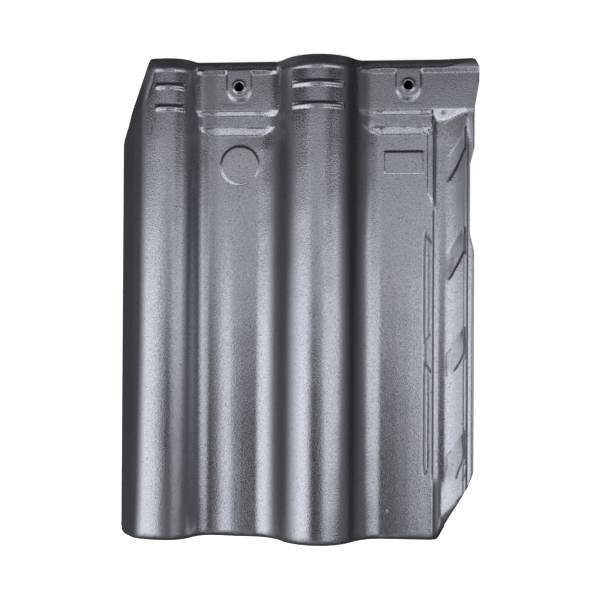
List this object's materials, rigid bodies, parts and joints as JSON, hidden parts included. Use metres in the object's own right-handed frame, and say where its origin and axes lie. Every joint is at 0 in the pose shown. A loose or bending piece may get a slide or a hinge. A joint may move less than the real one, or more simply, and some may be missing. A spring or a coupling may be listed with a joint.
{
  "type": "interlocking roof tile",
  "caption": "Interlocking double-roll roof tile in metallic glaze, with a side roll, a drained side channel and nail holes at the head, to cover a pitched roof.",
  "frame": {"origin": "centre of the tile's bounding box, on the floor it lies on, under the batten nibs", "axes": "+Y up the roof slope towards the head, +X across the tile towards the side channel, +Z out of the weather face"},
  "size_m": [0.3, 0.4, 0.053],
  "materials": {
    "glaze": "satin metallic grey glaze with a fine grain"
  },
  "bodies": {
    "root": {"roof_tile": "glaze"}
  },
  "joints": []
}
